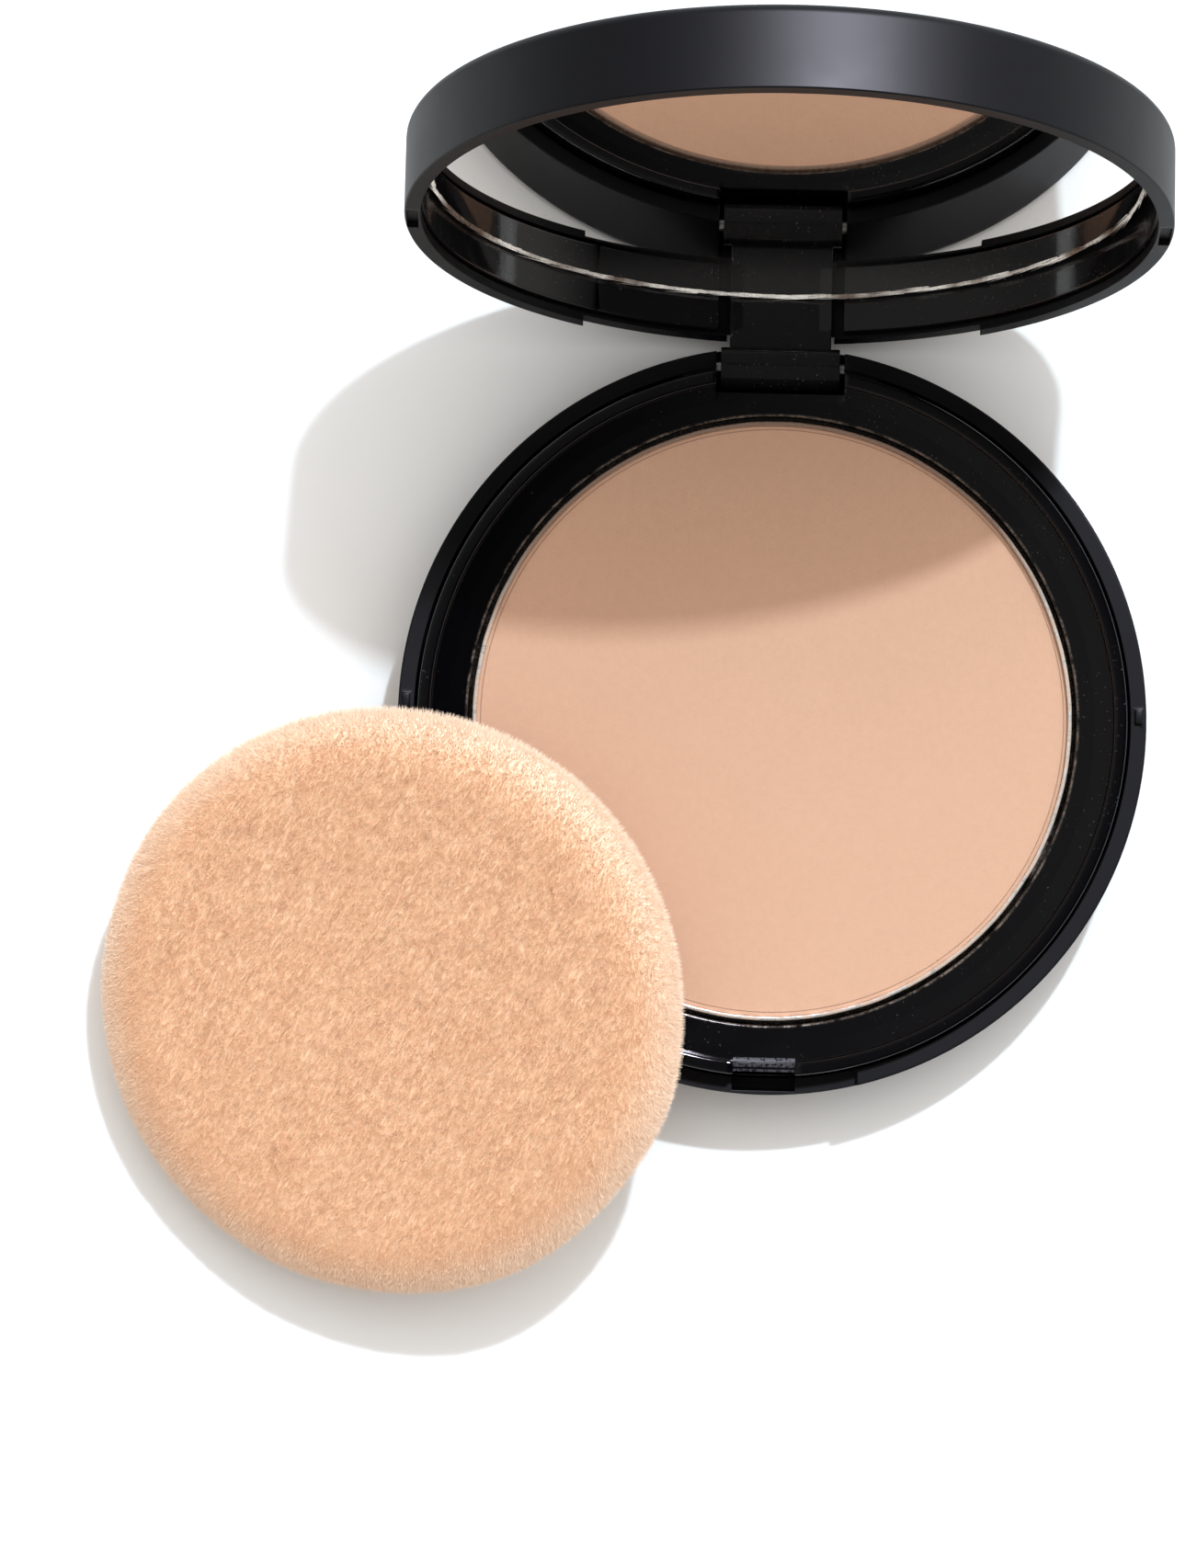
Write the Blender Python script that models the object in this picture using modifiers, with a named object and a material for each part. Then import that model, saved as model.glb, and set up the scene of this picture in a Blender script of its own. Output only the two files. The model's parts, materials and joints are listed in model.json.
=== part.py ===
"""A round powder compact, standing open, with its velour puff leaning on the rim.

Metres, +Z up. The origin is the centre of the underside, +Y points at the hinge and -Y at the
clasp. The lid is modelled shut, as it sits on the base, and its empty on the hinge axis turns it
open. The puff is modelled flat, and its empty, in the lower edge that stands on the table, tilts it
until it leans on the base's lip.
"""

import math

import bmesh
import bpy
from mathutils import Matrix, Vector

# Outside of the case.
outer_radius = 0.0368
base_height = 0.0084  # underside to the step that the lid's rim meets
lid_height = 0.00855  # rim to top face
base_edge_radius = 0.0012
lid_edge_radius = 0.00107
rim_width = 0.0016  # the flat face where base and lid meet
edge_break = 0.00015

# Walls.
base_floor = 0.0013
lid_plate = 0.0012
lid_wall = 0.0009  # above the bead that widens it to rim_width
lid_bead_height = 0.0009
liner_wall = 0.0006
liner_plate = 0.0007

# Fits: a loose fit between mouldings, and a snug one where a piece is glued or pressed in.
clearance = 0.0003
snug = 0.00015
liner_lift = 0.0004  # liner's edge above the lid's bead

# Inner frame of the base.
lip_height = 0.0012
lip_width = 0.0014
lip_break = 0.0003
skirt_wall = 0.0011
well_wall = 0.0011
well_floor = 0.001
well_floor_height = 0.0023
ring_thickness = 0.001
ring_inner_drop = 0.0001  # ring's inner edge below the step
ring_rise = 0.00035
ring_shoulder = 0.4  # share of the rise that is reached halfway to the lip
eject_hole_radius = 0.003

# Metal pan and pressed powder.
pan_radius = 0.0295
pan_wall = 0.0004
pan_below_ring = 0.0001
pan_to_frame = 0.00045
powder_below_pan = 0.0005
powder_break = 0.0003
pan_glue_radius = 0.02
glue_thickness = 0.0003

# Mirror.
mirror_radius = 0.0345
mirror_depth = 0.0047  # mirror face below the lid's rim
mirror_thickness = 0.0011
mirror_bevel = 0.0002
mirror_glue_radius = 0.026
mirror_glue_thickness = 0.00025

# Hinge.
hinge_inset = 0.0022  # pin axis inside outer_radius
hinge_drop = 0.0028  # pin axis below the step
open_angle = math.radians(108.0)
pin_radius = 0.00065
pin_length = 0.016
bore_gap = 0.0003
barrel_radius = 0.0021
barrel_length = 0.0117
tongue_width = 0.01
tongue_outer_inset = 0.0004
tongue_slot = 0.0012
tongue_slot_depth = 0.0024
notch_width = 0.0126
ear_width = 0.0033
ear_depth = 0.0024
ear_foot = 0.001
rim_relief_width = 0.039
rim_relief_depth = 0.0006

# Clasp, thumb notch and locating ribs.
clasp_width = 0.0062
clasp_reach = 0.0017  # into the lip
clasp_depth = 0.003
clasp_lip_drop = 0.0006
clasp_outer_skin = 0.0004
latch_width = 0.0054
latch_reach = 0.0004
latch_height = 0.0005
thumb_width = 0.0184
thumb_depth = 0.0008
rib_length = 0.0014
rib_width = 0.0007
rib_height = 0.00035
rib_offset = 0.0013
rib_slot_length = 0.0048
rib_slot_width = 0.0011
rib_slot_depth = 0.0006

# Puff.
puff_radius = 0.0293
puff_thickness = 0.008
puff_cover = 0.0009
puff_seam = 0.0003
puff_bearing = math.radians(217.6)
puff_foot_distance = 0.0707  # compact's axis to the puff's lower edge
puff_floor_gap = 0.0001

# Facets.
case_segments = 72
inner_segments = 48
pin_segments = 24
edge_steps = 4
cover_steps = 6
core_steps = 8
sharp_angle = math.radians(32)
past = 0.001  # how far a cutter runs past what it cuts
bury = 0.0004  # how far joined shapes run into each other

# Places that follow from the sizes.
wall_inner_radius = outer_radius - rim_width
lip_radius = wall_inner_radius - clearance
lip_top = base_height + lip_height
well_radius = pan_radius + pan_to_frame
well_top = base_height - ring_inner_drop
ring_underside = well_top - ring_thickness
well_floor_top = well_floor_height + well_floor
pan_bottom = well_floor_top + 2 * snug + glue_thickness
pan_top = well_top - pan_below_ring
powder_top = pan_top - powder_below_pan
lid_top = base_height + lid_height
liner_radius = outer_radius - lid_wall - clearance
liner_top = lid_top - lid_plate - clearance
liner_bottom = base_height + lid_bead_height + liner_lift
mirror_face = base_height + mirror_depth
hinge_y = outer_radius - hinge_inset
hinge_z = base_height - hinge_drop
notch_inner_y = hinge_y - barrel_radius - clearance
ear_inner_y = notch_inner_y + clearance
tongue_across = hinge_inset - tongue_outer_inset
tongue_up = liner_bottom - clearance - hinge_z
tongue_angle = math.atan2(tongue_up, tongue_across) - open_angle
tongue_sweep = max(barrel_radius, -math.hypot(tongue_across, tongue_up) * math.sin(tongue_angle))
notch_floor = hinge_z - tongue_sweep - clearance
half_puff = puff_thickness / 2
puff_arm = puff_radius - half_puff  # lower edge's centre to the puff's centre
puff_foot_height = half_puff + puff_floor_gap


def fresh_scene():
    for obj in list(bpy.data.objects):
        bpy.data.objects.remove(obj, do_unlink=True)
    made = []
    for name in ("powder_compact", "cutters"):
        made.append(bpy.data.collections.new(name))
        bpy.context.scene.collection.children.link(made[-1])
    return made


parts, cutters = fresh_scene()


def finish_of(name, colour, roughness, metallic=0.0):
    """A Principled material in one colour."""
    material = bpy.data.materials.new(name)
    material.use_nodes = True
    shader = material.node_tree.nodes["Principled BSDF"]
    shader.inputs["Base Color"].default_value = (*colour, 1.0)
    shader.inputs["Roughness"].default_value = roughness
    shader.inputs["Metallic"].default_value = metallic
    return material


def piece(name, mesh, material, collection=parts):
    mesh.materials.append(material)
    mesh.shade_smooth()
    mesh.set_sharp_from_angle(angle=sharp_angle)
    obj = bpy.data.objects.new(name, mesh)
    collection.objects.link(obj)
    return obj


def arc(radius, height, bend, start, end, steps=edge_steps):
    """Points of a round edge, as (radius, height), with angles in degrees from +radius."""
    angles = [math.radians(start + (end - start) * i / steps) for i in range(steps + 1)]
    return [(radius + bend * math.cos(a), height + bend * math.sin(a)) for a in angles]


def turned(name, profile, material, segments=case_segments):
    """A profile of (radius, height), down its outer side, turned round Z.

    A profile that starts and ends on the axis is left open there, and any other is a closed loop.
    """
    mesh = bpy.data.meshes.new(name)
    points = [(radius, 0.0, height) for radius, height in profile]
    edges = [(i, i + 1) for i in range(len(points) - 1)]
    if profile[0][0] > 0:
        edges.append((len(points) - 1, 0))
    mesh.from_pydata(points, edges, [])
    obj = piece(name, mesh, material)
    screw = obj.modifiers.new("turn", "SCREW")
    screw.steps = segments
    screw.render_steps = segments
    screw.use_merge_vertices = True
    screw.merge_threshold = 1e-6
    screw.use_smooth_shade = True
    return obj


def block(name, low, high, material=None):
    """A box between two corners, as a cutter or a shape to join."""
    low, high = Vector(low), Vector(high)
    mesh = bpy.data.meshes.new(name)
    shape = bmesh.new()
    place = Matrix.LocRotScale((low + high) / 2, None, high - low)
    bmesh.ops.create_cube(shape, size=1.0, matrix=place)
    shape.to_mesh(mesh)
    shape.free()
    return piece(name, mesh, material or plain, cutters)


def rod(name, radius, half_length, centre, material=None, collection=None):
    """A cylinder along X."""
    mesh = bpy.data.meshes.new(name)
    shape = bmesh.new()
    bmesh.ops.create_cone(
        shape,
        cap_ends=True,
        segments=pin_segments,
        radius1=radius,
        radius2=radius,
        depth=2 * half_length,
        matrix=Matrix.Translation(centre) @ Matrix.Rotation(math.pi / 2, 4, "Y"),
    )
    shape.to_mesh(mesh)
    shape.free()
    return piece(name, mesh, material or plain, collection or cutters)


def shape_with(target, tool, operation):
    """Cuts or joins a tool, which the render leaves out."""
    tool.hide_render = True
    tool.display_type = "WIRE"
    boolean = target.modifiers.new(tool.name, "BOOLEAN")
    boolean.operation = operation
    boolean.object = tool
    boolean.solver = "EXACT"


def cut(target, tool):
    shape_with(target, tool, "DIFFERENCE")


def join(target, tool):
    shape_with(target, tool, "UNION")


def empty_at(name, matrix):
    axis = bpy.data.objects.new(name, None)
    axis.empty_display_size = 0.01
    axis.matrix_world = matrix
    parts.objects.link(axis)
    return axis


plain = finish_of("tool_grey", (0.5, 0.5, 0.5), 0.5)
matte_black = finish_of("soft_touch_black", (0.012, 0.012, 0.014), 0.55)
gloss_black = finish_of("gloss_black", (0.006, 0.006, 0.008), 0.12)
steel = finish_of("pin_steel", (0.72, 0.72, 0.74), 0.2, 1.0)
aluminium = finish_of("pan_aluminium", (0.78, 0.77, 0.76), 0.3, 1.0)
powder = finish_of("pressed_powder", (0.74, 0.47, 0.32), 0.9)
glue = finish_of("tape", (0.8, 0.78, 0.7), 0.6)
silvered = finish_of("silvered_glass", (0.9, 0.92, 0.92), 0.02, 1.0)
velour = finish_of("peach_velour", (0.83, 0.48, 0.3), 0.95)
foam = finish_of("white_foam", (0.85, 0.83, 0.78), 0.9)


# Base shell: a round dish whose top edge is the step under the lid's rim.
def base_shell():
    shell = turned(
        "base_shell",
        [
            (0, base_floor),
            (wall_inner_radius, base_floor),
            (wall_inner_radius, base_height),
            (outer_radius - edge_break, base_height),
            (outer_radius, base_height - edge_break),
            *arc(outer_radius - base_edge_radius, base_edge_radius, base_edge_radius, 0, -90),
            (0, 0),
        ],
        matte_black,
    )
    wall_middle = outer_radius - rim_width / 2
    for side in (-1, 1):
        inner_x = side * notch_width / 2
        outer_x = side * (notch_width / 2 + ear_width)
        ear = block(
            f"ear_{'left' if side < 0 else 'right'}",
            (min(inner_x, outer_x), ear_inner_y, ear_foot),
            (max(inner_x, outer_x), ear_inner_y + ear_depth, base_height - clearance),
        )
        join(shell, ear)
        rib_x = side * wall_middle
        rib = block(
            f"rib_{'left' if side < 0 else 'right'}",
            (rib_x - rib_width / 2, rib_offset - rib_length / 2, base_height - bury),
            (rib_x + rib_width / 2, rib_offset + rib_length / 2, base_height + rib_height),
        )
        join(shell, rib)
    half_notch = notch_width / 2
    half_thumb = thumb_width / 2
    half_clasp = clasp_width / 2
    far = outer_radius + past
    top = base_height + past
    cut(shell, block("base_notch", (-half_notch, notch_inner_y, notch_floor), (half_notch, far, top)))
    cut(
        shell,
        block(
            "thumb_notch",
            (-half_thumb, -far, base_height - thumb_depth),
            (half_thumb, -outer_radius / 2, top),
        ),
    )
    cut(
        shell,
        block(
            "clasp_recess",
            (-half_clasp, clasp_outer_skin - outer_radius, base_height - clasp_depth),
            (half_clasp, -outer_radius / 2, top),
        ),
    )
    bore_half = pin_length / 2 + bore_gap
    cut(shell, rod("pin_bore", pin_radius + bore_gap, bore_half, (0, hinge_y, hinge_z)))
    return shell


# Inner frame: a lip inside the step, the ring round the powder, and the well that holds the pan.
def inner_frame():
    lip_inner = lip_radius - lip_width
    ring_top = well_top + ring_rise
    frame = turned(
        "inner_frame",
        [
            (lip_radius - lip_break, lip_top),
            (lip_radius, lip_top - lip_break),
            (lip_radius, base_floor + clearance),
            (lip_radius - skirt_wall, base_floor + clearance),
            (lip_radius - skirt_wall, ring_underside),
            (well_radius + well_wall, ring_underside),
            (well_radius + well_wall, well_floor_height),
            (eject_hole_radius, well_floor_height),
            (eject_hole_radius, well_floor_top),
            (well_radius, well_floor_top),
            (well_radius, well_top - edge_break),
            (well_radius + edge_break, well_top),
            ((well_radius + lip_inner) / 2, well_top + ring_shoulder * ring_rise),
            (lip_inner - lip_break, ring_top),
            (lip_inner, ring_top + edge_break),
            (lip_inner + edge_break, lip_top - edge_break),
            (lip_inner + lip_break, lip_top),
        ],
        gloss_black,
    )
    half_notch = notch_width / 2
    half_pocket = half_notch + ear_width + clearance
    half_clasp = clasp_width / 2
    far = outer_radius + past
    top = lip_top + past
    cut(frame, block("frame_notch", (-half_notch, notch_inner_y, 0), (half_notch, far, top)))
    cut(frame, block("ear_pocket", (-half_pocket, notch_inner_y, 0), (half_pocket, far, base_height)))
    cut(
        frame,
        block(
            "clasp_window",
            (-half_clasp, -far, lip_top - clasp_lip_drop),
            (half_clasp, clasp_reach - lip_radius, top),
        ),
    )
    half_groove = latch_width / 2 + clearance
    cut(
        frame,
        block(
            "latch_groove",
            (-half_groove, -far, base_height - clearance),
            (half_groove, latch_reach + clearance - wall_inner_radius, top),
        ),
    )
    return frame


# Pan, the tape under it and the cake of powder pressed into it.
def powder_pan():
    inner_radius = pan_radius - pan_wall
    turned(
        "pan",
        [
            (0, pan_bottom + pan_wall),
            (inner_radius, pan_bottom + pan_wall),
            (inner_radius, pan_top),
            (pan_radius, pan_top),
            (pan_radius, pan_bottom),
            (0, pan_bottom),
        ],
        aluminium,
    )
    glue_top = pan_bottom - snug
    turned(
        "pan_tape",
        [
            (0, glue_top),
            (pan_glue_radius, glue_top),
            (pan_glue_radius, glue_top - glue_thickness),
            (0, glue_top - glue_thickness),
        ],
        glue,
        inner_segments,
    )
    cake_radius = inner_radius - snug
    cake_bottom = pan_bottom + pan_wall + snug
    turned(
        "powder_cake",
        [
            (0, powder_top),
            (cake_radius - powder_break, powder_top),
            (cake_radius, powder_top - edge_break),
            (cake_radius, cake_bottom),
            (0, cake_bottom),
        ],
        powder,
    )


# Lid shell: a shallow cap whose rim is thickened by a bead.
def lid_shell():
    inner_radius = outer_radius - lid_wall
    bead_top = base_height + lid_bead_height
    shell = turned(
        "lid_shell",
        [
            (0, lid_top),
            *arc(outer_radius - lid_edge_radius, lid_top - lid_edge_radius, lid_edge_radius, 90, 0),
            (outer_radius, base_height + edge_break),
            (outer_radius - edge_break, base_height),
            (wall_inner_radius, base_height),
            (wall_inner_radius, bead_top),
            (inner_radius, bead_top + edge_break),
            (inner_radius, lid_top - lid_plate),
            (0, lid_top - lid_plate),
        ],
        matte_black,
    )
    half_latch = latch_width / 2
    join(
        shell,
        block(
            "latch_bead",
            (-half_latch, -wall_inner_radius - bury, base_height + edge_break),
            (half_latch, latch_reach - wall_inner_radius, base_height + edge_break + latch_height),
        ),
    )
    half_relief = rim_relief_width / 2
    half_notch = notch_width / 2
    far = outer_radius + past
    cut(
        shell,
        block(
            "rim_relief",
            (-half_relief, outer_radius / 2, base_height - past),
            (half_relief, far, base_height + rim_relief_depth),
        ),
    )
    cut(
        shell,
        block(
            "tongue_gate",
            (-half_notch, outer_radius / 2, base_height - past),
            (half_notch, far, liner_bottom),
        ),
    )
    for side in (-1, 1):
        slot_x = side * (outer_radius - rim_width / 2)
        slot = block(
            f"rib_slot_{'left' if side < 0 else 'right'}",
            (slot_x - rib_slot_width / 2, rib_offset - rib_slot_length / 2, base_height - past),
            (slot_x + rib_slot_width / 2, rib_offset + rib_slot_length / 2,
             base_height + rib_slot_depth),
        )
        cut(shell, slot)
    return shell


# Lid liner: the glossy cup that holds the mirror and carries the hinge tongue and its barrel.
def lid_liner():
    inner_radius = liner_radius - liner_wall
    plate_bottom = liner_top - liner_plate
    liner = turned(
        "lid_liner",
        [
            (0, liner_top),
            (liner_radius, liner_top),
            (liner_radius, liner_bottom),
            (inner_radius, liner_bottom),
            (inner_radius, plate_bottom),
            (0, plate_bottom),
        ],
        gloss_black,
    )
    half_tongue = tongue_width / 2
    for side in (-1, 1):
        near_x = side * half_tongue
        far_x = side * (half_tongue + tongue_slot)
        slot = block(
            f"tongue_slot_{'left' if side < 0 else 'right'}",
            (min(near_x, far_x), liner_radius - tongue_slot_depth, base_height - past),
            (max(near_x, far_x), outer_radius, mirror_face),
        )
        cut(liner, slot)
    tongue_inner_y = mirror_radius + clearance
    join(
        liner,
        block(
            "tongue_panel",
            (-half_tongue, tongue_inner_y, hinge_z),
            (half_tongue, tongue_inner_y + liner_wall, plate_bottom + bury),
        ),
    )
    join(
        liner,
        block(
            "tongue_root",
            (-half_tongue, tongue_inner_y, hinge_z),
            (half_tongue, hinge_y + tongue_across, hinge_z + tongue_up),
        ),
    )
    centre = (0, hinge_y, hinge_z)
    join(liner, rod("barrel", barrel_radius, barrel_length / 2, centre))
    cut(liner, rod("barrel_bore", pin_radius + bore_gap, barrel_length / 2 + past, centre))
    return liner


# Mirror and the pad of tape behind it.
def mirror():
    back = mirror_face + mirror_thickness
    glass = turned(
        "mirror",
        [
            (0, back),
            (mirror_radius, back),
            (mirror_radius, mirror_face + mirror_bevel),
            (mirror_radius - mirror_bevel, mirror_face),
            (0, mirror_face),
        ],
        silvered,
    )
    tape_bottom = back + snug
    tape_top = tape_bottom + mirror_glue_thickness
    tape = turned(
        "mirror_tape",
        [
            (0, tape_top),
            (mirror_glue_radius, tape_top),
            (mirror_glue_radius, tape_bottom),
            (0, tape_bottom),
        ],
        glue,
        inner_segments,
    )
    return glass, tape


# Puff: two velour covers round a disc of foam.
def puff_covers():
    """The two halves meet at the seam round the edge."""
    inner_bend = half_puff - puff_cover
    seam = puff_seam / 2
    outer = arc(puff_arm, 0, half_puff, 90, math.degrees(math.asin(seam / half_puff)), cover_steps)
    inner = arc(puff_arm, 0, inner_bend, math.degrees(math.asin(seam / inner_bend)), 90, cover_steps)
    front = turned(
        "puff_front",
        [(0, half_puff), *outer, *inner, (0, inner_bend)],
        velour,
        inner_segments,
    )
    back = turned(
        "puff_back",
        [(radius, -height) for radius, height in
         [(0, inner_bend), *reversed(inner), *reversed(outer), (0, half_puff)]],
        velour,
        inner_segments,
    )
    bend = inner_bend - clearance
    core = turned(
        "puff_foam",
        [(0, bend), *arc(puff_arm, 0, bend, 90, -90, core_steps), (0, -bend)],
        foam,
        inner_segments,
    )
    return front, back, core


def lean_angle():
    """Tilt at which the puff's underside clears the lip while its lower edge stands on the table."""
    across = puff_foot_distance - lip_radius
    up = lip_top - puff_foot_height
    reach = math.hypot(across, up)
    return math.atan2(up, across) + math.asin((half_puff + clearance) / reach)


base_shell()
inner_frame()
powder_pan()
rod("hinge_pin", pin_radius, pin_length / 2, (0, hinge_y, hinge_z), steel, parts)

lid_axis = Vector((0, hinge_y, hinge_z))
lid_hinge = empty_at("lid_hinge", Matrix.Translation(lid_axis) @ Matrix.Rotation(-open_angle, 4, "X"))
shut_pieces = {lid_shell(), lid_liner(), *mirror()}
for shut in shut_pieces:
    shut.parent = lid_hinge
    shut.matrix_parent_inverse = Matrix.Translation(-lid_axis)
    for modifier in shut.modifiers:
        if modifier.type == "BOOLEAN":
            modifier.object.parent = lid_hinge
            modifier.object.matrix_parent_inverse = Matrix.Translation(-lid_axis)

foot = Vector(
    (
        puff_foot_distance * math.cos(puff_bearing),
        puff_foot_distance * math.sin(puff_bearing),
        puff_foot_height,
    )
)
puff_turn = empty_at(
    "puff_turn",
    Matrix.Translation(foot)
    @ Matrix.Rotation(puff_bearing + math.pi, 4, "Z")
    @ Matrix.Rotation(-lean_angle(), 4, "Y"),
)
for soft in puff_covers():
    soft.parent = puff_turn
    soft.location = (puff_arm, 0, 0)
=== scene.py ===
"""A round powder compact standing open on a white table, with its velour puff leaning on the rim.

Metres, +Z up, +Y at the hinge and -Y at the clasp. Pieces of the lid are made shut, as they sit on
the base, and are then turned open about the hinge. Pieces of the puff are made flat, and are then
tilted until they lean on the base.
"""

import json
import math

import bmesh
import bpy
from mathutils import Matrix, Vector, noise


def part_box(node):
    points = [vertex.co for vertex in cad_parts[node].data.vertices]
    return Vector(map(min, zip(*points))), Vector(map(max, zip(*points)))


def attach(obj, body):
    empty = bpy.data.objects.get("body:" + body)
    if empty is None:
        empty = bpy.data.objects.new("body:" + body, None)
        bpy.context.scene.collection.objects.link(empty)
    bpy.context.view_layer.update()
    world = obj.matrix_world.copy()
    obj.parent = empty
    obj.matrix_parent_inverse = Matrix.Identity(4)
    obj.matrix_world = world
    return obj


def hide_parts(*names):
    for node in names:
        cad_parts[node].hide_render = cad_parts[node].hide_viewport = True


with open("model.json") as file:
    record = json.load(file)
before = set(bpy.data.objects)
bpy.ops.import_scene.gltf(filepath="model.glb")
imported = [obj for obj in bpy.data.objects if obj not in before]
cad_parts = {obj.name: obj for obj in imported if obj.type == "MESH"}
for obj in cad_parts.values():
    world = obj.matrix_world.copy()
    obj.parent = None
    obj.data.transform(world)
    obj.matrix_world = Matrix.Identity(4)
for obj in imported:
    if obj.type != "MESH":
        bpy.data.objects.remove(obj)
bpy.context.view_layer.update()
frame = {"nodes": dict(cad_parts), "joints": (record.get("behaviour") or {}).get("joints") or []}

# Table and studio: a white table top under a hard lamp, high on the right behind the compact, in a
# white room that fills the shadows, most from the lamp's side. What gloss mirrors is dimmer: dark
# flats hang over the table and leave a low bright band all round.
table_half_side = 4.0
table_below = 0.00002
lamp_towards = Vector((0.287, 0.787, 1.0)).normalized()
lamp_width = math.radians(1.9)
lamp_strength = 2.2
lamp_colour = (0.84, 0.98, 1.08)
gleam_width = math.radians(9)
gleam_strength = 8.5
gleam_colour = (0.98, 0.95, 1.12)
fill_strength = 0.56
fill_bias = 0.25
glow_strength = 2.4
glow_edge = math.cos(math.radians(52))
glow_heart = math.cos(math.radians(12))
fill_colour = (1.0, 0.985, 0.955, 1.0)
band_left = 0.16
band_right = 0.5
band_turns = (-0.4, 0.6)
flat_left = 0.25
flat_right = 0.015
flat_turns = (-0.25, 0.2)
band_top = math.sin(math.radians(8))
flat_edge = math.sin(math.radians(36))
paper_white = (0.9, 0.9, 0.9)
camera_place = (-0.01796, 0.01295, 1.0938)
camera_turn = (-0.018, 0.0, 0.0239)
camera_lens = 253.57


class Nodes:
    """A node tree, and the one way that its nodes are made."""

    def __init__(self, tree):
        self.tree = tree

    def plug(self, value, socket):
        if isinstance(value, Value):
            self.tree.links.new(value.socket, socket)
        else:
            socket.default_value = value

    def node(self, kind, settings, inputs, output=0):
        """A node of that kind, with its settings, then its inputs, by name or by number."""
        made = self.tree.nodes.new("ShaderNode" + kind)
        for name, value in settings.items():
            setattr(made, name, value)
        for name, value in inputs.items():
            self.plug(value, made.inputs[name])
        return Value(self, made.outputs[output])

    def split(self, vector):
        return [self.node("SeparateXYZ", {}, {0: vector}, axis) for axis in "XYZ"]

    def between(self, value, low, high, at_low=0.0, at_high=1.0):
        """A soft step from at_low to at_high as the value goes from low to high."""
        ends = {"From Min": low, "From Max": high, "To Min": at_low, "To Max": at_high}
        return self.node("MapRange", {"interpolation_type": "SMOOTHSTEP"}, {"Value": value, **ends})


class Value:
    """One output of a shader node, so that sums on it read as sums."""

    def __init__(self, nodes, socket):
        self.nodes = nodes
        self.socket = socket

    def maths(self, operation, first, second=0.0):
        return self.nodes.node("Math", {"operation": operation}, {0: first, 1: second})

    def __add__(self, other):
        return self.maths("ADD", self, other)

    __radd__ = __add__

    def __mul__(self, other):
        return self.maths("MULTIPLY", self, other)

    __rmul__ = __mul__

    def __sub__(self, other):
        return self.maths("SUBTRACT", self, other)

    def __rsub__(self, other):
        return self.maths("SUBTRACT", other, self)

    def sine(self):
        return self.maths("SINE", self)

    def absolute(self):
        return self.maths("ABSOLUTE", self)


class Finish(Nodes):
    """A material whose constants sit on its shader and whose patterns drive it."""

    def __init__(self, name, colour, roughness, metallic=0.0, **constants):
        self.material = bpy.data.materials.new(name)
        self.material.use_nodes = True
        super().__init__(self.material.node_tree)
        self.shader = self.tree.nodes["Principled BSDF"]
        self.place = self.node("TexCoord", {}, {}, "Object")
        self.set("Base Color", (*colour, 1.0))
        self.set("Roughness", roughness)
        self.set("Metallic", metallic)
        for name, value in constants.items():
            self.set(name.replace("_", " "), value)

    def set(self, socket, value):
        self.plug(value, self.shader.inputs[socket])

    def moved(self, location=(0, 0, 0), rotation=(0, 0, 0), scale=(1, 1, 1)):
        """The place on the piece, measured from another spot and another way round."""
        turn = {"Vector": self.place, "Location": location, "Rotation": rotation, "Scale": scale}
        return self.node("Mapping", {"vector_type": "TEXTURE"}, turn)

    def noise(self, vector, scale, detail=2.0, roughness=0.5):
        inputs = {"Vector": vector, "Scale": scale, "Detail": detail, "Roughness": roughness}
        return self.node("TexNoise", {}, inputs)

    def mix(self, share, first, second):
        """From the first colour to the second."""
        first, second = ((*c, 1.0) if isinstance(c, tuple) else c for c in (first, second))
        return self.node("Mix", {"data_type": "RGBA"}, {0: share, 6: first, 7: second}, 2)

    def from_axis(self, place=None):
        """The distance from the upright axis of the compact, or of the place given."""
        inputs = {0: place or self.place, 1: (1, 1, 0)}
        flat = self.node("VectorMath", {"operation": "MULTIPLY"}, inputs)
        return self.node("VectorMath", {"operation": "LENGTH"}, {0: flat}, "Value")

    def relief(self, height, depth, normal=None):
        """A bump of that depth, in metres, on top of an earlier one."""
        inputs = {"Height": height, "Distance": depth, "Strength": 1.0}
        if normal:
            inputs["Normal"] = normal
        return self.node("Bump", {}, inputs)


scene = bpy.context.scene
scene.view_settings.view_transform = "Standard"

camera = bpy.data.objects.new("camera", bpy.data.cameras.new("camera"))
camera.location = camera_place
camera.rotation_euler = camera_turn
camera.data.lens = camera_lens
scene.collection.objects.link(camera)
scene.camera = camera

for name, strength, width, colour in (
    ("lamp", lamp_strength, lamp_width, lamp_colour),
    ("gleam", gleam_strength, gleam_width, gleam_colour),
):
    lamp = bpy.data.objects.new(name, bpy.data.lights.new(name, "SUN"))
    lamp.data.energy = strength
    lamp.data.color = colour
    lamp.data.angle = width
    lamp.rotation_euler = lamp_towards.to_track_quat("Z", "Y").to_euler()
    lamp.visible_diffuse = name == "lamp"
    scene.collection.objects.link(lamp)

scene.world = bpy.data.worlds.new("studio")
scene.world.use_nodes = True
studio = Nodes(scene.world.node_tree)
background = scene.world.node_tree.nodes["Background"]
towards = studio.node("TexCoord", {}, {}, "Generated")
sides = {0: towards, 1: lamp_towards}
facing = studio.node("VectorMath", {"operation": "DOT_PRODUCT"}, sides, "Value")
glow = studio.between(facing, glow_edge, glow_heart, 0.0, glow_strength)
fill = fill_strength * (1.0 + fill_bias * facing + glow)
sideways, _, upward = studio.split(towards)
band = studio.between(sideways, *band_turns, band_left, band_right)
flats = studio.between(sideways, *flat_turns, flat_left, flat_right)
overhead = studio.between(upward, band_top, flat_edge)
room = band * (1.0 - overhead) + flats * overhead
mirrored = studio.node("LightPath", {}, {}, "Is Glossy Ray")
studio.plug(fill * (1.0 - mirrored) + room * mirrored, background.inputs["Strength"])
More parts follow.
